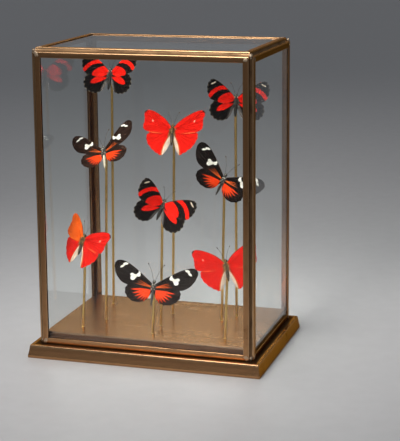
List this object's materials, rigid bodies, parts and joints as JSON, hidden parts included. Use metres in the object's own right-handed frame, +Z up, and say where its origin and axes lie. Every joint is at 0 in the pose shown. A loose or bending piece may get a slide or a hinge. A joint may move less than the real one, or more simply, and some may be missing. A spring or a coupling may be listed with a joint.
{
  "type": "butterfly display case",
  "caption": "Rectangular brass-framed glass case on a brass-edged plinth, showing dried red, rayed and banded butterflies, each raised on a thin brass rod.",
  "frame": {"origin": "under the middle of the base, on the surface that it stands on", "axes": "+Z up, +X to the right along the front, the front faces -Y"},
  "size_m": [0.2268, 0.1608, 0.2938],
  "materials": {
    "stained_wood": "satin",
    "plate_brass": "satin",
    "antique_brass": "satin",
    "rod_brass": "satin",
    "clear_glass": "gloss",
    "red_wing": "matte",
    "rayed_wing": "matte",
    "banded_wing": "matte"
  },
  "bodies": {
    "root": {"plinth": "stained_wood", "display_plate": "plate_brass", "skirt_front": "antique_brass", "skirt_right": "antique_brass", "skirt_back": "antique_brass", "skirt_left": "antique_brass", "front_rail_bottom": "antique_brass", "front_post_right": "antique_brass", "front_rail_top": "antique_brass", "front_post_left": "antique_brass", "front_glass": "clear_glass", "right_rail_bottom": "antique_brass", "right_post_right": "antique_brass", "right_rail_top": "antique_brass", "right_post_left": "antique_brass", "right_glass": "clear_glass", "back_rail_bottom": "antique_brass", "back_post_right": "antique_brass", "back_rail_top": "antique_brass", "back_post_left": "antique_brass", "back_glass": "clear_glass", "left_rail_bottom": "antique_brass", "left_post_right": "antique_brass", "left_rail_top": "antique_brass", "left_post_left": "antique_brass", "left_glass": "clear_glass", "top_rail_front": "antique_brass", "top_rail_right": "antique_brass", "top_rail_back": "antique_brass", "top_rail_left": "antique_brass", "top_glass": "clear_glass", "rod_back_left": "rod_brass", "rod_back_right": "rod_brass", "rod_middle_left": "rod_brass", "rod_back_centre": "rod_brass", "rod_middle_right": "rod_brass", "rod_middle_centre": "rod_brass", "rod_front_left": "rod_brass", "rod_front_centre": "rod_brass", "rod_front_right": "rod_brass", "butterfly_back_left": "banded_wing", "butterfly_back_right": "banded_wing", "butterfly_middle_left": "rayed_wing", "butterfly_back_centre": "red_wing", "butterfly_middle_right": "rayed_wing", "butterfly_middle_centre": "banded_wing", "butterfly_front_left": "red_wing", "butterfly_front_centre": "rayed_wing", "butterfly_front_right": "red_wing"}
  },
  "joints": []
}
